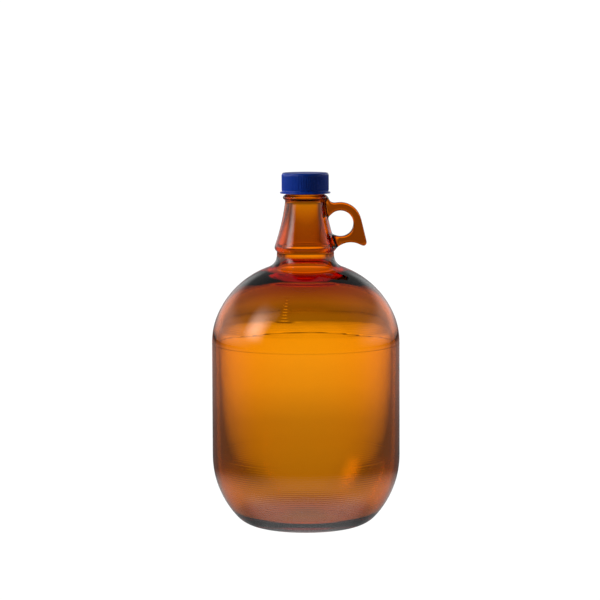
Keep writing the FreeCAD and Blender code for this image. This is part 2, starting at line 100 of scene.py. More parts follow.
def hue(name, about, code):
    """A colour given as an sRGB hex code."""
    return bpy.props.FloatVectorProperty(name=name, description=about, default=linear(code), size=4,
                                         min=0.0, max=1.0, subtype="COLOR")


def linear(code):
    """An sRGB hex code as linear red, green, blue and an alpha of one."""
    parts = [int(code[start:start + 2], 16) / 255 for start in (1, 3, 5)]
    light = [part / 12.92 if part <= 0.04045 else ((part + 0.055) / 1.055) ** 2.4 for part in parts]
    return (*light, 1.0)


# ---------------------------------------------------------------- sizes and colours
class JugSizes(bpy.types.PropertyGroup):
    body_radius: length("Body radius", "Radius of the straight side", JUG_HIGH.y)
    heel_radius: length("Heel radius", "Long curve from the side towards the foot", 80.3 * MM)
    heel_turn: angle("Heel turn", "How far the heel turns before the foot curve", 42.7)
    foot_radius: length("Foot radius", "Tight curve that runs into the bearing ring", 25.7 * MM)
    bearing_inner_radius: length("Bearing ring", "Inner radius of the ring that the jug stands on", 37.0 * MM)
    push_up: length("Push-up", "How far the middle of the base stands off the table", 3.5 * MM)
    shoulder_start: length("Shoulder start", "Height where the straight side ends", 163.9 * MM)
    shoulder_radius: length("Shoulder radius", "First curve of the shoulder", 61.7 * MM)
    shoulder_turn: angle("Shoulder turn", "How far the first curve turns", 22.3)
    dome_radius: length("Dome radius", "Second curve of the shoulder", 78.0 * MM)
    flare_radius: length("Flare radius", "Hollow curve between the dome and the neck", 11.0 * MM)
    waist_radius: length("Waist radius", "Short straight stretch under the collar", 25.5 * MM)
    undercut_radius: length("Undercut radius", "Hollow under the collar", 1.5 * MM)
    collar_height: length("Collar height", "Height of the collar's widest place", 248.8 * MM)
    collar_radius: length("Collar radius", "Radius at the collar's widest place", 27.6 * MM)
    collar_round: length("Collar rounding", "Radius of the collar's own curve", 4.0 * MM)
    neck_sweep: length("Neck sweep", "Radius of the neck's slightly hollow side", 193.0 * MM)
    neck_top_radius: length("Neck top radius", "Radius of the neck under the bead", 17.75 * MM)
    bead_height: length("Bead height", "Height of the bead under the cap", 293.2 * MM)
    bead_radius: length("Bead radius", "Radius of the bead", 20.2 * MM)
    bead_round: length("Bead rounding", "Radius of the bead's own curve", 2.2 * MM)
    finish_radius: length("Finish radius", "Radius of the wall that carries the thread", FINISH_RADIUS)
    rim_round: length("Rim rounding", "Outer rounding of the rim", 0.9 * MM)
    mouth_round: length("Mouth rounding", "Inner rounding of the rim", 0.7 * MM)
    bore_radius: length("Bore radius", "Radius of the mouth's bore",
                        MOUNTS["mouth_bore"]["dims"]["r_mm"] * MM)
    bore_end: length("Bore end", "Height where the bore starts to widen", 294.0 * MM)
    inner_sweep: length("Inner sweep", "Radius of the neck's hollow side on the inside", 140.0 * MM)
    inner_collar: length("Inner collar", "Curve inside the collar", 8.0 * MM)
    inner_dome_radius: length("Inner dome radius", "Inside curve of the shoulder", 61.0 * MM)
    inner_flare: length("Inner flare", "Inside curve between the shoulder and the neck", 18.0 * MM)
    inner_flare_drop: length("Inner flare drop", "How far its centre lies under the outer one's", 2.0 * MM)
    neck_wall: length("Neck wall", "Thickness of the glass at the waist", 4.2 * MM)
    wall: length("Wall", "Thickness of the glass at the side", 3.6 * MM)
    inner_floor: length("Inner floor", "Height of the floor inside", 8.0 * MM)
    inner_foot_radius: length("Inner foot radius", "Inner curve at the foot", 20.0 * MM)
    thread_lead: length("Thread lead", "Rise of the thread in one turn", 4.2333 * MM)
    thread_turns: amount("Thread turns", "Turns of the thread", 1.5)
    thread_start: length("Thread start", "Height of the thread's lower end", 300.0 * MM)
    thread_height: length("Thread height", "How far the thread stands off its wall",
                          MOUNTS["screw_finish"]["dims"]["r_mm"] * MM - FINISH_RADIUS)
    thread_half: length("Thread half width", "Half the width of the thread at its root", 1.35 * MM)
    ridge_pitch: length("Ridge pitch", "Distance between the fine rings left by the mould", 2.0 * MM)
    heel_ridge: length("Heel ridge", "Height of the fine rings on the heel", 0.09 * MM)
    shoulder_ridge: length("Shoulder ridge", "Height of the fine rings on the shoulder", 0.006 * MM)
    ring_height: length("Ring height", "Height of the ring at each end of the straight side", 0.045 * MM)
    ring_half: length("Ring half width", "Half the width of that ring", 0.6 * MM)
    marks_low: length("Marks low", "Height of the lowest of the raised ticks on the shoulder", 190.5 * MM)
    marks_rise: length("Marks rise", "How far the row of ticks goes up", 20.0 * MM)
    marks_pitch: length("Marks pitch", "Distance between the ticks", 2.4 * MM)
    marks_height: length("Marks height", "How far the ticks stand off", 0.20 * MM)
    columns: count("Columns", "Faces round the jug before smoothing", 64)


class HandleSizes(bpy.types.PropertyGroup):
    ring_offset: length("Ring offset", "Distance of the finger hole from the axis", RING["pos_m"][0])
    ring_height: length("Ring height", "Height of the finger hole's centre", RING["pos_m"][2])
    hole_radius: length("Hole radius", "Radius of the finger hole", RING["dims"]["r_mm"] * MM)
    thickness: length("Thickness", "Thickness of the handle", RING["dims"]["length_mm"] * MM)
    band: length("Band", "Width of the band round the hole", 7.4 * MM)
    rounding: length("Rounding", "Rounding of the handle's edges", 1.2 * MM)
    web_radius: length("Web radius", "Where the top of the handle leaves the bead", 19.0 * MM)
    web_height: length("Web height", "Height of that place", 294.4 * MM)
    web_hollow: length("Web hollow", "Hollow curve at the top of the handle", 7.0 * MM)
    web_reach: length("Web reach", "Distance from the axis where the blend into the bead starts", 22.4 * MM)
    grip_lean: angle("Grip lean", "Slope of the handle's outer side", 13.5)
    tip_round: length("Tip rounding", "Rounding of the handle's lower corner", 3.0 * MM)
    under_offset: length("Underside offset", "Distance of the underside's centre from the axis", 40.3 * MM)
    under_height: length("Underside height", "Height of the underside's centre", 235.1 * MM)
    under_radius: length("Underside radius", "Hollow curve under the handle", 18.2 * MM)
    root_reach: length("Root reach", "Distance from the axis where the blend into the collar starts",
                       29.6 * MM)


class CapSizes(bpy.types.PropertyGroup):
    top: length("Top", "Thickness of the cap's top", 2.0 * MM)
    wall_radius: length("Wall radius", "Radius between the ribs", 20.5 * MM)
    inner_radius: length("Inner radius", "Radius inside the skirt", 19.1 * MM)
    edge_round: length("Edge rounding", "Rounding of the top edge", 0.9 * MM)
    flange_height: length("Flange height", "Height of the flange at the wall", 1.6 * MM)
    flange_edge: length("Flange edge", "Height of the flange at its edge", 1.1 * MM)
    flange_round: length("Flange rounding", "Rounding of the flange's edge", 0.3 * MM)
    ribs: count("Ribs", "Upright ribs round the cap", 90)
    rib_height: length("Rib height", "How far a rib stands off the wall", 0.5 * MM)
    rib_gap: length("Rib gap", "Distance from the top of the ribs to the top of the cap", 1.3 * MM)
    snap_radius: length("Snap radius", "Radius inside the ridge that keeps the liner in", 18.45 * MM)
    snap_half: length("Snap half width", "Half the width of that ridge", 0.6 * MM)
    thread_depth: length("Thread depth", "How far the inner thread stands off the skirt", 1.2 * MM)
    thread_half: length("Thread half width", "Half the width of the inner thread", 0.95 * MM)
    thread_turns: amount("Thread turns", "Turns of the inner thread", 1.25)
    thread_drop: length("Thread drop", "How far it sits under the jug's thread", 1.75 * MM)


class Finishes(bpy.types.PropertyGroup):
    glass_tint: bpy.props.FloatVectorProperty(
        name="Glass tint", description="Light that a metre of glass keeps, before the density", size=4,
        default=(0.988, 0.825, 0.02, 1.0), min=0.0, max=1.0, subtype="COLOR")
    glass_density: amount("Glass density", "Absorption per metre", 975.0)
    cap_blue: hue("Cap blue", "Moulded polypropylene", "#1056ea")
    cap_wear: hue("Cap wear", "Rubbed edges of the ribs", "#3c74ee")
    liner_white: hue("Liner white", "Foamed polyethylene", "#ecebe4")
    # painted shade for the pits of the foam, not a colour of the foam itself
    liner_painted_pit_shade: hue("Liner shade", "Pits in the foam", "#cfccc0")


class StageSizes(bpy.types.PropertyGroup):
    camera_back: length("Camera distance", "Level distance of the camera from the jug", 2.050)
    camera_height: length("Camera height", "Height of the camera over the table", 0.411)
    camera_side: length("Camera side", "Where the camera's aim passes the axis", -5.0 * MM)
    aim_height: length("Aim height", "Height on the jug's axis that the camera aims at", 201.6 * MM)
    lens: amount("Lens", "Focal length in millimetres", 138.6)
    roll: angle("Roll", "How far the camera leans", -0.22)
    floor_radius: length("Floor radius", "Radius of the pale floor", 3.00)
    # painted light: the floor glows with these levels from the jug out to its edge, and the share below
    # paints its dim sides
    painted_floor_levels: bpy.props.FloatVectorProperty(
        name="Floor levels", description="Light on the floor from the jug out to its edge", size=11,
        default=(0.50, 0.54, 0.64, 0.98, 1.14, 1.12, 0.68, 0.38, 0.34, 0.26, 0.16))
    wall_levels: bpy.props.FloatVectorProperty(
        name="Wall levels", description="Light on the walls, from below the table to overhead", size=7,
        default=(0.0, 0.38, 0.28, 0.20, 0.18, 0.16, 0.14))
    front_share: amount("Front share", "Light on the room's near side, as a share of its far side's", 0.10)
    painted_side_share: amount("Floor share", "Light on the floor beside the jug, as a share of that behind", 0.22)
    # painted light: a pool of extra glow on the floor close in front of the jug
    painted_foot_light: amount("Foot level", "Extra light on the floor close in front of the jug", 1.2)
    flank_level: amount("Flank level", "Light of the pale screens behind the jug at either side", 0.55)
    softbox_heading: angle("Softbox heading", "Bearing of the softbox, to the left of the camera", 70.0)
    softbox_half: amount("Softbox half width", "As the jug sees it", 0.16)
    softbox_level: amount("Softbox level", "Its brightness", 5.0)


# ---------------------------------------------------------------- plane geometry
def polar(centre, radius, turn):
    """The point at an angle on a circle."""
    return (centre[0] + radius * math.cos(turn), centre[1] + radius * math.sin(turn))


def bearing(centre, point):
    """The angle from a circle's centre to a point."""
    return math.atan2(point[1] - centre[1], point[0] - centre[0])


def meet(centre_a, reach_a, centre_b, reach_b, side):
    """The point at given distances from two centres, left (+1) or right (-1) of the line a to b."""
    span = math.dist(centre_a, centre_b)
    dx = (centre_b[0] - centre_a[0]) / span
    dz = (centre_b[1] - centre_a[1]) / span
    along = (reach_a ** 2 - reach_b ** 2 + span ** 2) / (2 * span)
    across = side * math.sqrt(reach_a ** 2 - along ** 2)
    return (centre_a[0] + along * dx - across * dz, centre_a[1] + along * dz + across * dx)


def between(low, high, steps):
    """Evenly spaced values from low to high, both ends included."""
    return [low + (high - low) * step / steps for step in range(steps + 1)]


def arc(centre, radius, start, end, steps, ridge=0.0):
    """Points on a circle from one angle to another; a ridge raises every other one, fading at both ends."""
    points = []
    for step, turn in enumerate(between(start, end, steps)):
        fade = math.sin(math.pi * step / steps) ** 0.5 if 0 < step < steps else 0.0
        points.append(polar(centre, radius + ridge * fade * (-1) ** step, turn))
    return points


def line(start, end, steps):
    """Points on a straight stretch, both ends included."""
    return [(start[0] + (end[0] - start[0]) * share, start[1] + (end[1] - start[1]) * share)
            for share in between(0.0, 1.0, steps)]


def joined(*runs):
    """One chain from several, without the points that two of them share."""
    chain = []
    for run in runs:
        for point in run:
            if not chain or math.dist(chain[-1], point) > MERGE:
                chain.append(point)
    return chain


def jug_circles(sizes):
    """The centres of the jug's curves, as (radius from the axis, height)."""
    reach = sizes.heel_radius - sizes.foot_radius
    heel = (sizes.body_radius - sizes.heel_radius, reach * math.sin(sizes.heel_turn) + sizes.foot_radius)
    shoulder = (sizes.body_radius - sizes.shoulder_radius, sizes.shoulder_start)
    dome = polar(shoulder, sizes.shoulder_radius - sizes.dome_radius, sizes.shoulder_turn)
    flare_x = sizes.waist_radius + sizes.flare_radius
    flare_rise = math.sqrt((sizes.dome_radius + sizes.flare_radius) ** 2 - (flare_x - dome[0]) ** 2)
    collar = (sizes.collar_radius - sizes.collar_round, sizes.collar_height)
    under_x = sizes.waist_radius + sizes.undercut_radius
    under_drop = math.sqrt((sizes.collar_round + sizes.undercut_radius) ** 2 - (under_x - collar[0]) ** 2)
    neck_top = (sizes.neck_top_radius, sizes.bead_height - sizes.bead_round)
    return {
        "heel": heel,
        "foot": polar(heel, reach, -sizes.heel_turn),
        "shoulder": shoulder,
        "dome": dome,
        "flare": (flare_x, dome[1] + flare_rise),
        "collar": collar,
        "undercut": (under_x, collar[1] - under_drop),
        "neck_top": neck_top,
        "neck": meet(collar, sizes.neck_sweep + sizes.collar_round, neck_top, sizes.neck_sweep, -1),
        "bead": (sizes.bead_radius - sizes.bead_round, sizes.bead_height),
    }


def neck_radius(sizes, at, height):
    """The outer radius of the neck at a height."""
    return at["neck"][0] - math.sqrt(sizes.neck_sweep ** 2 - (height - at["neck"][1]) ** 2)


def hole_on_neck(sizes, handle, at, side):
    """The height where the finger hole meets the neck, over (+1) or under (-1) its centre."""
    height = handle.ring_height
    for _ in range(40):
        gap = handle.ring_offset - neck_radius(sizes, at, height)
        height = handle.ring_height + side * math.sqrt(max(handle.hole_radius ** 2 - gap ** 2, 0.0))
    return height


# ---------------------------------------------------------------- modelling helpers
def start_mesh(name, place):
    """A new object in edit mode that holds one vertex, which is selected."""
    bpy.ops.object.select_all(action="DESELECT")
    bpy.ops.mesh.primitive_plane_add(size=MM)
    piece = bpy.context.object
    piece.name = name
    piece.data.name = name
    bpy.ops.object.mode_set(mode="EDIT")
    bpy.ops.mesh.select_mode(type="VERT")
    bpy.ops.mesh.select_all(action="SELECT")
    bpy.ops.mesh.merge(type="CENTER")
    bpy.ops.transform.translate(value=place)
    return piece


def draw(name, chain):
    """A new object in edit mode that holds a chain in the XZ plane, drawn by extruding its last point."""
    piece = start_mesh(name, (chain[0][0], 0.0, chain[0][1]))
    extend(chain)
    return piece


def extend(chain):
    """Extrude the selected vertex along the rest of a chain."""
    for tail, head in zip(chain, chain[1:]):
        step = (head[0] - tail[0], 0.0, head[1] - tail[1])
        bpy.ops.mesh.extrude_vertices_move(TRANSFORM_OT_translate={"value": step})


def pick(piece, kind, test):
    """Select the vertices, edges or faces of the object in edit mode that pass a test, and nothing else."""
    bpy.ops.mesh.select_all(action="DESELECT")
    bpy.ops.mesh.select_mode(type={"verts": "VERT", "edges": "EDGE", "faces": "FACE"}[kind])
    mesh = bmesh.from_edit_mesh(piece.data)
    for item in getattr(mesh, kind):
        if test(item):
            item.select_set(True)
    bmesh.update_edit_mesh(piece.data)


def centre_of(item):
    """The middle of an edge or a face."""
    return sum((vertex.co for vertex in item.verts), Vector()) / len(item.verts)


def faces_out(point, normal):
    """Whether a surface's normal at a point turns away from the jug's axis."""
    return normal.x * point.x + normal.y * point.y > 0.0


def swell(radius, height):
    """Move what is selected away from the axis, by a height that is given for a radius."""
    grown = 1 + height / radius
    bpy.ops.transform.resize(value=(grown, grown, 1.0), center_override=(0.0, 0.0, 0.0))


def turned(piece, steps):
    """Spin the chain a full turn about the axis and close its seam and poles."""
    bpy.ops.mesh.select_all(action="SELECT")
    bpy.ops.mesh.spin(steps=steps, angle=math.tau, center=(0.0, 0.0, 0.0), axis=AXIS)
    bpy.ops.mesh.select_all(action="SELECT")
    bpy.ops.mesh.remove_doubles(threshold=MERGE)
    bpy.ops.mesh.normals_make_consistent(inside=False)


def finished(piece, body, node, material, levels=0):
    """Smooth a piece in object mode, give it its finish, tie it to its body and hide its node's CAD part."""
    if levels:
        smooth = piece.modifiers.new("Smooth", "SUBSURF")
        smooth.levels = levels
        smooth.render_levels = levels
        bpy.ops.object.modifier_apply(modifier=smooth.name)
    bpy.ops.object.shade_smooth()
    piece.data.materials.clear()
    piece.data.materials.append(material)
    bpy.ops.object.select_all(action="DESELECT")
    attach(piece, body)
    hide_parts(node)
    return piece


def wound(piece, wall, reach, start, lead, turns, half, height):
    """Raise a thread on a smooth wall, by moving the wall's vertices away from the axis or towards it."""
    run_in = math.radians(25.0)
    flank = 0.6
    for vertex in piece.data.vertices:
        radius = math.hypot(vertex.co.x, vertex.co.y)
        if abs(radius - wall) > reach:
            continue
        heading = math.atan2(vertex.co.y, vertex.co.x) % math.tau
        swell = 0.0
        for turn in range(math.ceil(turns) + 1):
            along = heading + turn * math.tau
            if along > turns * math.tau:
                break
            away = abs(vertex.co.z - start - lead * along / math.tau) / half
            ends = min(along, turns * math.tau - along) / run_in
            if away < 1.0:
                side = min(1.0, (1.0 - away) / flank)
                swell = max(swell, side * side * (3 - 2 * side) * min(1.0, ends))
        grown = (radius + height * swell) / radius
        vertex.co.x *= grown
        vertex.co.y *= grown


# ---------------------------------------------------------------- materials
def node(tree, kind, links=(), **settings):
    """Add a node. Settings are properties or inputs by name; links pair an input with a socket or value."""
    made = tree.nodes.new(kind)
    for name, value in settings.items():
        if name in made.bl_rna.properties:
            setattr(made, name, value)
        else:
            made.inputs[name.replace("_", " ")].default_value = value
    for name, source in links:
        if isinstance(source, bpy.types.NodeSocket):
            tree.links.new(made.inputs[name], source)
        else:
            made.inputs[name].default_value = source
    return made


def new_material(name):
    """A material with an empty node tree and its output node."""
    material = bpy.data.materials.new(name)
    material.use_nodes = True
    material.node_tree.nodes.clear()
    return material, material.node_tree, node(material.node_tree, "ShaderNodeOutputMaterial")


def amber_glass(finishes):
    """Amber soda-lime glass, blown in a mould and fire-polished: clear, iron-brown where it is thick, and
    faintly wavy from the mould, so that what is behind it swims a little."""
    wave = 22 * MM
    material, tree, output = new_material("amber_soda_lime_glass")
    place = node(tree, "ShaderNodeTexCoord").outputs["Object"]
    chill = node(tree, "ShaderNodeTexNoise", [("Vector", place)], Scale=1 / wave, Detail=1.0, Roughness=0.4)
    ripple = node(tree, "ShaderNodeBump", [("Height", chill.outputs["Fac"])], Strength=0.35,
                  Distance=0.25 * MM)
    shader = node(tree, "ShaderNodeBsdfPrincipled", [("Normal", ripple.outputs["Normal"])],
                  Base_Color=(1.0, 1.0, 1.0, 1.0), Roughness=0.0, IOR=1.52, Transmission_Weight=1.0)
    depth = node(tree, "ShaderNodeVolumeAbsorption", Color=finishes.glass_tint,
                 Density=finishes.glass_density)
    tree.links.new(output.inputs["Surface"], shader.outputs["BSDF"])
    tree.links.new(output.inputs["Volume"], depth.outputs["Volume"])
    return material


def cap_plastic(finishes):
    """Blue polypropylene, injection moulded: satin, with upright flow marks and paler, rubbed rib crests."""
    streak = 3 * MM
    speck = 0.35 * MM
    material, tree, output = new_material("moulded_blue_polypropylene")
    place = node(tree, "ShaderNodeTexCoord").outputs["Object"]
    stretch = node(tree, "ShaderNodeMapping", [("Vector", place)], Scale=(1.0, 1.0, 0.15))
    flow = node(tree, "ShaderNodeTexNoise", [("Vector", stretch.outputs["Vector"])], Scale=1 / streak,
                Detail=3.0)
    grain = node(tree, "ShaderNodeTexNoise", [("Vector", place)], Scale=1 / speck, Detail=2.0)
    crest = node(tree, "ShaderNodeNewGeometry").outputs["Pointiness"]
    rubbed = node(tree, "ShaderNodeMapRange", [("Value", crest)], From_Min=0.52, From_Max=0.62)
    patchy = node(tree, "ShaderNodeMath", [(0, rubbed.outputs["Result"]), (1, flow.outputs["Fac"])],
                  operation="MULTIPLY")
    tone = node(tree, "ShaderNodeMix", [("Factor", patchy.outputs["Value"])], data_type="RGBA",
                A=finishes.cap_blue, B=finishes.cap_wear)
    gloss = node(tree, "ShaderNodeMapRange", [("Value", flow.outputs["Fac"])], To_Min=0.24, To_Max=0.38)
    skin = node(tree, "ShaderNodeBump", [("Height", grain.outputs["Fac"])], Strength=0.25,
                Distance=0.03 * MM)
    shader = node(tree, "ShaderNodeBsdfPrincipled",
                  [("Base Color", tone.outputs["Result"]), ("Roughness", gloss.outputs["Result"]),
                   ("Normal", skin.outputs["Normal"])], IOR=1.49)
    tree.links.new(output.inputs["Surface"], shader.outputs["BSDF"])
    return material


def liner_foam(finishes):
    """White foamed polyethylene, cut from sheet: matt, with closed cells a third of a millimetre across, and
    painted shade in their pits.
    """
    cell = 0.35 * MM
    material, tree, output = new_material("foamed_white_polyethylene")
    place = node(tree, "ShaderNodeTexCoord").outputs["Object"]
    cells = node(tree, "ShaderNodeTexVoronoi", [("Vector", place)], Scale=1 / cell)
    # painted shade: the colour darkens towards the middle of each cell, where the bump sinks into a pit
    tone = node(tree, "ShaderNodeMix", [("Factor", cells.outputs["Distance"])], data_type="RGBA",
                A=finishes.liner_painted_pit_shade, B=finishes.liner_white)
    pits = node(tree, "ShaderNodeBump", [("Height", cells.outputs["Distance"])], Strength=0.4,
                Distance=0.08 * MM)
    shader = node(tree, "ShaderNodeBsdfPrincipled",
                  [("Base Color", tone.outputs["Result"]), ("Normal", pits.outputs["Normal"])],
                  Roughness=0.72, IOR=1.51)
    tree.links.new(output.inputs["Surface"], shader.outputs["BSDF"])
    return material


# ---------------------------------------------------------------- the jug
def jug_chain(sizes, handle):
    """The jug's section from the middle of its base, up the outside, over the rim and down to its floor."""
    at = jug_circles(sizes)
    quarter = math.pi / 2
    half_pitch = sizes.ridge_pitch / 2
    base_radius = (sizes.bearing_inner_radius ** 2 + sizes.push_up ** 2) / (2 * sizes.push_up)
    base = (0.0, sizes.push_up - base_radius)
    base_turn = bearing(base, (sizes.bearing_inner_radius, 0.0))
    heel_steps = round(sizes.heel_radius * sizes.heel_turn / half_pitch)
    shoulder_steps = round(sizes.shoulder_radius * sizes.shoulder_turn / half_pitch)
    dome_end = bearing(at["dome"], at["flare"])
    dome_steps = round(sizes.dome_radius * (dome_end - sizes.shoulder_turn) / half_pitch)
    flare_start = bearing(at["flare"], at["dome"]) + math.tau
    collar_top = bearing(at["collar"], at["neck"])
    collar_end = polar(at["collar"], sizes.collar_round, collar_top)
    hole_low = hole_on_neck(sizes, handle, at, -1)
    hole_high = hole_on_neck(sizes, handle, at, 1)
    neck_heights = (between(collar_end[1], hole_low, 6) + between(hole_low, hole_high, 4)
                    + between(hole_high, at["neck_top"][1], 5))
    rim = JUG_HIGH.z
    rim_centre = (sizes.finish_radius - sizes.rim_round, rim - sizes.rim_round)
    bead_top = sizes.bead_height + sizes.bead_round

    outside = joined(
        arc(base, base_radius, quarter, base_turn, 8),
        line((sizes.bearing_inner_radius, 0.0), (at["foot"][0], 0.0), 3),
        arc(at["foot"], sizes.foot_radius, -quarter, -sizes.heel_turn, 10),
        arc(at["heel"], sizes.heel_radius, -sizes.heel_turn, 0.0, heel_steps, sizes.heel_ridge),
        side_ring(sizes, at["heel"][1], 1),
        line((sizes.body_radius, at["heel"][1] + 2 * sizes.ring_half),
             (sizes.body_radius, sizes.shoulder_start - 2 * sizes.ring_half), 12),
        side_ring(sizes, sizes.shoulder_start, -1),
        arc(at["shoulder"], sizes.shoulder_radius, 0.0, sizes.shoulder_turn, shoulder_steps,
            sizes.shoulder_ridge),
        arc(at["dome"], sizes.dome_radius, sizes.shoulder_turn, dome_end, dome_steps,
            sizes.shoulder_ridge / 2),
        arc(at["flare"], sizes.flare_radius, flare_start, math.pi, 7),
        arc(at["undercut"], sizes.undercut_radius, math.pi, bearing(at["undercut"], at["collar"]), 4),
        arc(at["collar"], sizes.collar_round, bearing(at["collar"], at["undercut"]), COLLAR_ROOT, 2),
        arc(at["collar"], sizes.collar_round, COLLAR_ROOT, 0.0, 1),
        arc(at["collar"], sizes.collar_round, 0.0, collar_top, 1),
        [(neck_radius(sizes, at, height), height) for height in neck_heights],
        arc(at["bead"], sizes.bead_round, -quarter / 2, quarter, 3),
        line((sizes.finish_radius, bead_top + 0.2 * MM), (sizes.finish_radius, rim_centre[1]), 30),
        arc(rim_centre, sizes.rim_round, 0.0, quarter, 3),
    )
    return joined(outside, jug_inside(sizes, at))


def side_ring(sizes, end, way):
    """One of the two fine rings that edge the straight side, over (+1) or under (-1) the side's end."""
    ring = [(sizes.body_radius + lift, end + way * step * sizes.ring_half / 2)
            for step, lift in enumerate((0.0, 0.0, sizes.ring_height, 0.0))]
    return ring[::way]


def jug_inside(sizes, at):
    """The hollow's section from the rim down to the middle of the inner floor."""
    quarter = math.pi / 2
    rim = JUG_HIGH.z
    reach = sizes.heel_radius - sizes.wall - sizes.inner_foot_radius
    foot_turn = math.asin((at["heel"][1] - sizes.inner_floor - sizes.inner_foot_radius) / reach)
    foot = polar(at["heel"], reach, -foot_turn)
    inner_waist = sizes.waist_radius - sizes.neck_wall
    inner_dome = sizes.inner_dome_radius
    flare = (inner_waist + sizes.inner_flare, at["flare"][1] - sizes.inner_flare_drop)
    dome = meet(at["shoulder"], inner_dome + sizes.wall - sizes.shoulder_radius,
                flare, inner_dome + sizes.inner_flare, 1)
    dome_turn = bearing(dome, at["shoulder"])
    dome_end = bearing(dome, flare)
    sweep = (sizes.bore_radius + sizes.inner_sweep, sizes.bore_end)
    collar_x = inner_waist - sizes.inner_collar
    collar = (collar_x, sizes.bore_end
              - math.sqrt((sizes.inner_sweep + sizes.inner_collar) ** 2 - (sweep[0] - collar_x) ** 2))
    collar_turn = bearing(collar, sweep)
    mouth = (sizes.bore_radius + sizes.mouth_round, rim - sizes.mouth_round)
    inner_body = sizes.body_radius - sizes.wall
    return joined(
        arc(mouth, sizes.mouth_round, quarter, math.pi, 3),
        line((sizes.bore_radius, mouth[1]), (sizes.bore_radius, sizes.bore_end), 5),
        arc(sweep, sizes.inner_sweep, math.pi, collar_turn + math.pi, 12),
        arc(collar, sizes.inner_collar, collar_turn, 0.0, 4),
        line((inner_waist, collar[1]), (inner_waist, flare[1]), 5),
        arc(flare, sizes.inner_flare, math.pi, dome_end + math.pi, 8),
        arc(dome, inner_dome, dome_end, dome_turn, 14),
        arc(at["shoulder"], sizes.shoulder_radius - sizes.wall, dome_turn, 0.0, 6),
        line((inner_body, sizes.shoulder_start), (inner_body, at["heel"][1]), 8),
        arc(at["heel"], sizes.heel_radius - sizes.wall, 0.0, -foot_turn, 10),
        arc(foot, sizes.inner_foot_radius, -foot_turn, -quarter, 6),
        line((foot[0], sizes.inner_floor), (0.0, sizes.inner_floor), 6),
    )


def handle_chains(handle):
    """The finger hole and the handle's outer side, from the bead to the collar, as two matching chains."""
    ring = (handle.ring_offset, handle.ring_height)
    ring_radius = handle.hole_radius + handle.band
    under = (handle.under_offset, handle.under_height)
    web_start = (handle.web_radius, handle.web_height)
    web = meet(ring, ring_radius + handle.web_hollow, web_start, handle.web_hollow, -1)
    lean = handle.grip_lean
    side_top = polar(ring, ring_radius, lean)
    inset = (side_top[0] - handle.tip_round * math.cos(lean), side_top[1] - handle.tip_round * math.sin(lean))
    along = (under[0] - inset[0]) * math.sin(lean) - (under[1] - inset[1]) * math.cos(lean)
    foot = (inset[0] + along * math.sin(lean), inset[1] - along * math.cos(lean))
    back = math.sqrt((handle.under_radius + handle.tip_round) ** 2 - math.dist(foot, under) ** 2)
    tip = (foot[0] - back * math.sin(lean), foot[1] + back * math.cos(lean))

    web_first = -math.acos((handle.web_reach - web[0]) / handle.web_hollow)
    crown_start = bearing(ring, web)
    web_last = crown_start - math.pi
    tip_end = bearing(tip, under)
    under_first = tip_end + math.pi
    under_last = math.acos((handle.root_reach - under[0]) / handle.under_radius)
    outer = joined(
        arc(web, handle.web_hollow, web_first, web_last, 4),
        arc(ring, ring_radius, crown_start, lean, 8),
        line(side_top, polar(tip, handle.tip_round, lean), 6),
        arc(tip, handle.tip_round, lean, tip_end, 4),
        arc(under, handle.under_radius, under_first, under_last, 7),
    )
    tip_low, tip_high = TIP_TURNS
    inner = joined(
        arc(ring, handle.hole_radius, HOLE_TOP, crown_start, 4),
        arc(ring, handle.hole_radius, crown_start, lean, 8),
        arc(ring, handle.hole_radius, lean, tip_high, 6),
        arc(ring, handle.hole_radius, tip_high, tip_low, 4),
        arc(ring, handle.hole_radius, tip_low, HOLE_FOOT, 7),
    )
    return inner, outer


def build_handle(handle):
    """The bow of the handle, open at both ends: a strip between two chains, thickened and rounded."""
    inner, outer = handle_chains(handle)
    half = handle.thickness / 2
    flat = half - handle.rounding
    ring = (handle.ring_offset, handle.ring_height)
    ends = [(inner[0], outer[0]), (inner[-1], outer[-1])]
    bow = draw("handle_bow", inner)
    bpy.ops.object.mode_set(mode="OBJECT")
    second = draw("handle_outline", outer)
    bpy.ops.object.mode_set(mode="OBJECT")
    merge_into(bow, second)
    bpy.ops.object.mode_set(mode="EDIT")
    bpy.ops.mesh.select_all(action="SELECT")
    bpy.ops.mesh.bridge_edge_loops()
    bpy.ops.mesh.select_all(action="SELECT")
    bpy.ops.transform.translate(value=(0.0, -half, 0.0))
    for step in (half - flat / 2, flat / 2, flat / 2, half - flat / 2):
        bpy.ops.mesh.extrude_region_move(TRANSFORM_OT_translate={"value": (0.0, step, 0.0)})

    def reach(vertex):
        return math.dist((vertex.co.x, vertex.co.z), ring)

    def on_face(edge):
        return all(abs(abs(vertex.co.y) - half) < MERGE for vertex in edge.verts)

    def at_end(face):
        return any(all(min(math.dist((vertex.co.x, vertex.co.z), point) for point in pair) < 10 * MERGE
                       for vertex in face.verts) for pair in ends)

    def along_rim(edge):
        inside = [abs(reach(vertex) - handle.hole_radius) < 0.1 * MM for vertex in edge.verts]
        return on_face(edge) and inside[0] == inside[1] and edge.calc_length() > 0.1 * MM

    def across_band(edge):
        near, far = sorted(reach(vertex) for vertex in edge.verts)
        by_hole = abs(near - handle.hole_radius - handle.rounding) < 0.4 * MM
        return on_face(edge) and by_hole and far > near + MM

    pick(bow, "faces", at_end)
    bpy.ops.mesh.delete(type="FACE")
    pick(bow, "edges", along_rim)
    bpy.ops.mesh.bevel(offset=handle.rounding, segments=2, affect="EDGES", clamp_overlap=False)
    pick(bow, "edges", across_band)
    bpy.ops.mesh.subdivide(number_cuts=5)
    bpy.ops.object.mode_set(mode="OBJECT")
    return bow


def merge_into(piece, other):
    """Join another object's mesh into a piece's."""
    bpy.ops.object.select_all(action="DESELECT")
    other.select_set(True)
    piece.select_set(True)
    bpy.context.view_layer.objects.active = piece
    bpy.ops.object.join()


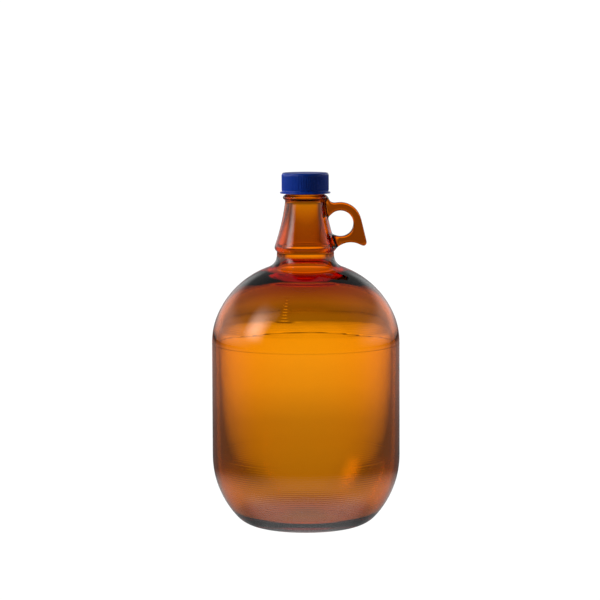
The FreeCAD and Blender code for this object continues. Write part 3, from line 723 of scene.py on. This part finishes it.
def raise_marks(jug, sizes):
    """Raise a short upright row of plain ticks on the front of the shoulder, as moulds leave there."""
    column = math.tau / sizes.columns
    heading = -math.pi / 2 - 2.5 * column
    half_row = 0.3 * column
    half_tick = 0.1 * column
    tick_rise = 0.6 * MM
    low = sizes.marks_low
    high = low + sizes.marks_rise

    def beside(point, normal, reach):
        turn = (math.atan2(point.y, point.x) - heading + math.pi) % math.tau - math.pi
        return faces_out(point, normal) and abs(turn) < reach and low < point.z < high

    def on_tick(vertex):
        return (beside(vertex.co, vertex.normal, half_tick)
                and (vertex.co.z - low) % sizes.marks_pitch < tick_rise)

    pick(jug, "faces", lambda face: beside(centre_of(face), face.normal, half_row))
    bpy.ops.mesh.subdivide(number_cuts=3)
    bmesh.from_edit_mesh(jug.data).normal_update()
    pick(jug, "verts", on_tick)
    swell(sizes.body_radius, sizes.marks_height)


def build_jug(sizes, handle, material):
    """Turn the section, open the neck where the handle meets it, and grow the handle out of it."""
    at = jug_circles(sizes)
    jug = draw("jug", jug_chain(sizes, handle))
    turned(jug, sizes.columns)
    raise_marks(jug, sizes)
    wide = 3 * math.tau / sizes.columns
    collar_low = polar(at["collar"], sizes.collar_round, COLLAR_ROOT)[1]
    bead_high = polar(at["bead"], sizes.bead_round, math.pi / 4)[1]
    roots = [(collar_low, hole_on_neck(sizes, handle, at, -1)),
             (hole_on_neck(sizes, handle, at, 1), bead_high)]

    def under_handle(face):
        middle = centre_of(face)
        facing = abs(math.atan2(middle.y, middle.x)) < wide
        return faces_out(middle, face.normal) and facing and any(low < middle.z < high for low, high in roots)

    pick(jug, "faces", under_handle)
    bpy.ops.mesh.delete(type="FACE")
    bpy.ops.object.mode_set(mode="OBJECT")
    merge_into(jug, build_handle(handle))
    bpy.ops.object.mode_set(mode="EDIT")
    for upper in (True, False):
        pick(jug, "edges", lambda edge: len(edge.link_faces) == 1
             and (centre_of(edge).z > handle.ring_height) == upper)
        bpy.ops.mesh.bridge_edge_loops(number_cuts=2, interpolation="SURFACE", smoothness=0.7)
    bpy.ops.mesh.select_all(action="SELECT")
    bpy.ops.mesh.normals_make_consistent(inside=False)
    bpy.ops.object.mode_set(mode="OBJECT")
    wound(jug, sizes.finish_radius, 0.1 * MM, sizes.thread_start, sizes.thread_lead, sizes.thread_turns,
          sizes.thread_half, sizes.thread_height)
    return finished(jug, "jug", "bottle", material, levels=1)


# ---------------------------------------------------------------- the cap and its liner
def cap_chain(sizes):
    """The cap's section from the middle of its top, down the outside and up the inside to the ceiling."""
    base = CAP_LOW.z
    top = CAP_HIGH.z
    flange = CAP_HIGH.x
    ceiling = top - sizes.top
    quarter = math.pi / 2
    snap = LINER_LOW.z - sizes.snap_half
    crown = (sizes.wall_radius - sizes.edge_round, top - sizes.edge_round)
    rim = (flange - sizes.flange_round, base + sizes.flange_round)
    wall_foot = base + sizes.flange_height
    rib_top = top - sizes.rib_gap
    return joined(
        line((0.0, top), (crown[0], top), 6),
        arc(crown, sizes.edge_round, quarter, 0.0, 4),
        line((sizes.wall_radius, crown[1]), (sizes.wall_radius, rib_top), 1),
        line((sizes.wall_radius, rib_top), (sizes.wall_radius, rib_top - 0.4 * MM), 1),
        line((sizes.wall_radius, rib_top - 0.4 * MM), (sizes.wall_radius, wall_foot), 10),
        line((sizes.wall_radius + 0.2 * MM, wall_foot - 0.05 * MM), (flange, base + sizes.flange_edge), 3),
        arc(rim, sizes.flange_round, 0.0, -quarter, 3),
        line((rim[0], base), (sizes.inner_radius + 0.5 * MM, base), 2),
        line((sizes.inner_radius, base + 0.5 * MM), (sizes.inner_radius, snap - sizes.snap_half), 26),
        line((sizes.snap_radius, snap - 0.1 * MM), (sizes.snap_radius, snap + 0.1 * MM), 1),
        line((sizes.inner_radius, snap + sizes.snap_half), (sizes.inner_radius, ceiling - 0.2 * MM), 2),
        line((sizes.inner_radius - 0.2 * MM, ceiling), (0.0, ceiling), 5),
    )


def build_cap(sizes, jug_sizes, material):
    """Turn the cap's section, then draw three columns of its wall in every four out into a rounded rib."""
    per_rib = 4
    cap = draw("screw_cap", cap_chain(sizes))
    turned(cap, sizes.ribs * per_rib)
    low = CAP_LOW.z + sizes.flange_height + 0.3 * MM
    high = CAP_HIGH.z - sizes.rib_gap - 0.2 * MM
    share = math.tau / (sizes.ribs * per_rib)
    for column, lift in ((0, 1.0), (1, 0.5), (3, 0.5)):
        def on_rib(vertex):
            radius = math.hypot(vertex.co.x, vertex.co.y)
            heading = round(math.atan2(vertex.co.y, vertex.co.x) / share) % per_rib
            on_wall = abs(radius - sizes.wall_radius) < 0.05 * MM
            return on_wall and low < vertex.co.z < high and heading == column

        pick(cap, "verts", on_rib)
        swell(sizes.wall_radius, lift * sizes.rib_height)
    bpy.ops.object.mode_set(mode="OBJECT")
    wound(cap, sizes.inner_radius, 0.1 * MM, jug_sizes.thread_start - sizes.thread_drop,
          jug_sizes.thread_lead, sizes.thread_turns, sizes.thread_half, -sizes.thread_depth)
    return finished(cap, "screw_cap", "cap", material)


def build_liner(material):
    """The liner: a turned disc with soft edges and the shallow ring that the rim has pressed into it."""
    low = LINER_LOW.z
    high = LINER_HIGH.z
    edge = LINER_HIGH.x
    soft = 0.3 * MM
    dent = 0.12 * MM
    pressed = (14.4 * MM, 17.2 * MM)
    chain = joined(
        line((0.0, high), (edge - soft, high), 6),
        arc((edge - soft, high - soft), soft, math.pi / 2, 0.0, 3),
        arc((edge - soft, low + soft), soft, 0.0, -math.pi / 2, 3),
        [(pressed[1] + soft, low), (pressed[1], low + dent)],
        [(pressed[0], low + dent), (pressed[0] - soft, low)],
        line((pressed[0] - 2 * soft, low), (0.0, low), 6),
    )
    liner = draw("liner_disc", chain)
    turned(liner, 96)
    bpy.ops.object.mode_set(mode="OBJECT")
    return finished(liner, "liner", "cap_liner", material, levels=1)


# ---------------------------------------------------------------- the stage
# Where each soft edge in the room starts and ends, as parts of a unit direction seen from the jug.
WALL_HEIGHTS = (-0.2, 1.0)
ROOM_FRONT = (-0.5, 0.3)
SCREEN_SIDE = (0.14, 0.30)
SCREEN_BACK = (-0.5, 0.1)
SCREEN_FOOT = (-0.05, 0.10)
SCREEN_HEAD = (0.50, 0.28)
BOX_EDGE = (0.16, -0.14)                # added to the softbox's half width
BOX_SIDE = (0.0, 0.1)                   # keeps the softbox off the far side of the room
BOX_FOOT = (0.02, 0.40)
BOX_HEAD = (0.85, 0.45)

# The same for the light painted on the table: shares of the straight way back, then metres from the axis or
# along Y.
TABLE_SIDE = (-0.6, 0.1)
TABLE_STRIP = (0.945, 0.997)
TABLE_NEAR = (0.30, 0.12)
# a painted shadow on the table round the jug's foot: metres from the axis, then its levels
PAINTED_SHADOW_REACH = (0.02, 0.14)
PAINTED_SHADOW_LEVELS = (0.30, 1.0)
# a painted pool of light on the table close in front of the foot: metres from the axis, then along Y
PAINTED_FOOT_REACH = (0.13, 0.085)
PAINTED_FOOT_FRONT = (-0.03, -0.08)

SEEN_WHITE = 1.05                       # just past white, so that the paper has no tone of its own
WHITE = (1.0, 1.0, 1.0, 1.0)


def light_along(tree, source, levels):
    """Light that passes through evenly spaced levels as a value goes from 0 to 1."""
    made = node(tree, "ShaderNodeValToRGB", [("Fac", source)])
    stops = made.color_ramp.elements
    for number, level in enumerate(levels):
        place = number / (len(levels) - 1)
        stop = stops[number] if number < 2 else stops.new(place)
        stop.position = place
        stop.color = (level, level, level, 1.0)
    return made.outputs["Color"]


def faded(tree, source, edge, levels=(0.0, 1.0), easing="SMOOTHSTEP"):
    """Light that goes from one level to another as a value crosses a soft edge."""
    return node(tree, "ShaderNodeMapRange", [("Value", source)], interpolation_type=easing,
                From_Min=edge[0], From_Max=edge[1], To_Min=levels[0], To_Max=levels[1]).outputs["Result"]


def together(tree, operation, *lights):
    """Several lights multiplied, added or compared, one after the other."""
    total = lights[0]
    for light in lights[1:]:
        total = node(tree, "ShaderNodeMath", [(0, total), (1, light)], operation=operation).outputs["Value"]
    return total


def white_to_the_eye(tree, output, room):
    """Plain white where the camera sees a surface directly; the glass sees the studio's own light on it."""
    seen = node(tree, "ShaderNodeEmission", Color=WHITE, Strength=SEEN_WHITE)
    eye = node(tree, "ShaderNodeLightPath").outputs["Is Camera Ray"]
    both = node(tree, "ShaderNodeMixShader", [(0, eye), (1, room), (2, seen.outputs[0])])
    tree.links.new(output.inputs["Surface"], both.outputs[0])


def build_world(stage):
    """Soft studio light: walls that darken towards the camera, pale screens behind the jug at either side,
    and one tall softbox."""
    world = bpy.data.worlds.new("studio")
    bpy.context.scene.world = world
    world.use_nodes = True
    tree = world.node_tree
    tree.nodes.clear()
    way = node(tree, "ShaderNodeTexCoord").outputs["Generated"]
    parts = node(tree, "ShaderNodeSeparateXYZ", [("Vector", way)])
    back = parts.outputs["Y"]
    up = parts.outputs["Z"]
    walls = light_along(tree, faded(tree, up, WALL_HEIGHTS, easing="LINEAR"), stage.wall_levels)
    front = faded(tree, back, ROOM_FRONT, (stage.front_share, 1.0))
    aside = node(tree, "ShaderNodeMath", [(0, parts.outputs["X"])], operation="ABSOLUTE").outputs["Value"]
    screens = together(tree, "MULTIPLY", faded(tree, aside, SCREEN_SIDE), faded(tree, back, SCREEN_BACK),
                       faded(tree, up, SCREEN_FOOT), faded(tree, up, SCREEN_HEAD), stage.flank_level)

    heading = stage.softbox_heading
    towards = (-math.sin(heading), -math.cos(heading), 0.0)
    across = (-math.cos(heading), math.sin(heading), 0.0)
    forward = node(tree, "ShaderNodeVectorMath", [(0, way), (1, towards)], operation="DOT_PRODUCT")
    sideways = node(tree, "ShaderNodeVectorMath", [(0, way), (1, across)], operation="DOT_PRODUCT")
    off = node(tree, "ShaderNodeMath", [(0, sideways.outputs["Value"])], operation="ABSOLUTE")
    box_edge = [stage.softbox_half + margin for margin in BOX_EDGE]
    softbox = together(tree, "MULTIPLY", faded(tree, off.outputs["Value"], box_edge),
                       faded(tree, forward.outputs["Value"], BOX_SIDE),
                       faded(tree, up, BOX_FOOT), faded(tree, up, BOX_HEAD), stage.softbox_level)
    glow = together(tree, "ADD", together(tree, "MULTIPLY", walls, front), screens, softbox)
    room = node(tree, "ShaderNodeBackground", [("Strength", glow)], Color=WHITE)
    white_to_the_eye(tree, node(tree, "ShaderNodeOutputWorld"), room.outputs[0])


def floor_paint(stage):
    """White table paper to the eye; to the glass it glows with painted light: a bright strip runs straight
    back from the jug, the sides and the front are dim, a painted shadow darkens it close round the foot, and
    a little painted light lies close in front of the foot."""
    material, tree, output = new_material("white_table_paper")
    place = node(tree, "ShaderNodeTexCoord").outputs["Object"]
    reach = node(tree, "ShaderNodeVectorMath", [(0, place)], operation="LENGTH").outputs["Value"]
    # painted light on the glowing table: levels out from the jug, a bright strip behind, dim sides and front
    spread = faded(tree, reach, (0.0, stage.floor_radius), easing="LINEAR")
    painted_pool = light_along(tree, spread, stage.painted_floor_levels)
    depth = node(tree, "ShaderNodeSeparateXYZ", [("Vector", place)]).outputs["Y"]
    ahead = together(tree, "DIVIDE", depth, reach)
    sides = faded(tree, ahead, TABLE_SIDE, (stage.painted_side_share / 3, stage.painted_side_share))
    painted_strip_and_sides = together(tree, "MAXIMUM", sides, faded(tree, ahead, TABLE_STRIP))
    painted_strip_and_sides = together(tree, "MAXIMUM", painted_strip_and_sides, faded(tree, reach, TABLE_NEAR))
    # painted contact shadow: the table's glow is darkened close round the jug's axis
    painted_contact_shadow = faded(tree, reach, PAINTED_SHADOW_REACH, PAINTED_SHADOW_LEVELS)
    # painted pool of light close in front of the foot
    foot = together(tree, "MULTIPLY", faded(tree, reach, PAINTED_FOOT_REACH), faded(tree, depth, PAINTED_FOOT_FRONT),
                    stage.painted_foot_light)
    glow = together(tree, "ADD", together(tree, "MULTIPLY", painted_pool, painted_contact_shadow, painted_strip_and_sides), foot)
    room = node(tree, "ShaderNodeEmission", [("Strength", glow)], Color=WHITE)
    white_to_the_eye(tree, output, room.outputs[0])
    return material


def build_stage(stage):
    """Floor, world, soft lights and camera."""
    bpy.context.scene.view_settings.view_transform = "Standard"
    bpy.context.scene.view_settings.look = "None"
    bpy.ops.object.select_all(action="DESELECT")
    bpy.ops.mesh.primitive_circle_add(vertices=96, radius=stage.floor_radius, fill_type="NGON")
    floor = bpy.context.object
    floor.name = "floor"
    floor.data.materials.append(floor_paint(stage))
    build_world(stage)

    data = bpy.data.cameras.new("camera")
    data.lens = stage.lens
    data.clip_end = 50.0
    camera = bpy.data.objects.new("camera", data)
    bpy.context.scene.collection.objects.link(camera)
    camera.location = (stage.camera_side, -stage.camera_back, stage.camera_height)
    aim = Vector((stage.camera_side, 0.0, stage.aim_height)) - camera.location
    facing = aim.to_track_quat("-Z", "Y").to_matrix().to_4x4()
    facing = facing @ Matrix.Rotation(stage.roll, 4, "Z")
    camera.rotation_euler = facing.to_euler()
    bpy.context.scene.camera = camera


# ---------------------------------------------------------------- operators and panel
class JUG_OT_glass(bpy.types.Operator):
    """Model the amber glass jug with its ring handle"""
    bl_idname = "jug.glass"
    bl_label = "Glass Jug"

    def execute(self, context):
        scene = context.scene
        build_jug(scene.jug_sizes, scene.handle_sizes, amber_glass(scene.jug_finishes))
        return {"FINISHED"}


class JUG_OT_cap(bpy.types.Operator):
    """Model the ribbed screw cap"""
    bl_idname = "jug.cap"
    bl_label = "Screw Cap"

    def execute(self, context):
        scene = context.scene
        build_cap(scene.cap_sizes, scene.jug_sizes, cap_plastic(scene.jug_finishes))
        return {"FINISHED"}


class JUG_OT_liner(bpy.types.Operator):
    """Model the sealing liner under the cap's top"""
    bl_idname = "jug.liner"
    bl_label = "Cap Liner"

    def execute(self, context):
        build_liner(liner_foam(context.scene.jug_finishes))
        return {"FINISHED"}


class JUG_OT_stage(bpy.types.Operator):
    """Set up the floor, the studio light and the camera"""
    bl_idname = "jug.stage"
    bl_label = "Stage"

    def execute(self, context):
        build_stage(context.scene.jug_stage)
        return {"FINISHED"}


OPERATORS = (JUG_OT_glass, JUG_OT_cap, JUG_OT_liner, JUG_OT_stage)


class JUG_PT_workshop(bpy.types.Panel):
    """The pieces of the jug, and their sizes"""
    bl_idname = "JUG_PT_workshop"
    bl_label = "Glass Jug"
    bl_space_type = "VIEW_3D"
    bl_region_type = "UI"
    bl_category = "Jug"

    def draw(self, context):
        for operator in OPERATORS:
            self.layout.operator(operator.bl_idname)
        for group in GROUPS:
            owner = getattr(context.scene, group)
            box = self.layout.box()
            for name in owner.__annotations__:
                box.prop(owner, name)


GROUPS = {"jug_sizes": JugSizes, "handle_sizes": HandleSizes, "cap_sizes": CapSizes,
          "jug_finishes": Finishes, "jug_stage": StageSizes}


def register():
    for item in (*GROUPS.values(), *OPERATORS, JUG_PT_workshop):
        bpy.utils.register_class(item)
    for name, group in GROUPS.items():
        setattr(bpy.types.Scene, name, bpy.props.PointerProperty(type=group))


def unregister():
    for name in GROUPS:
        delattr(bpy.types.Scene, name)
    for item in (JUG_PT_workshop, *reversed(OPERATORS), *reversed(GROUPS.values())):
        bpy.utils.unregister_class(item)


def main():
    register()
    bpy.ops.jug.stage()
    bpy.ops.jug.glass()
    bpy.ops.jug.cap()
    bpy.ops.jug.liner()


if __name__ == "__main__":
    main()
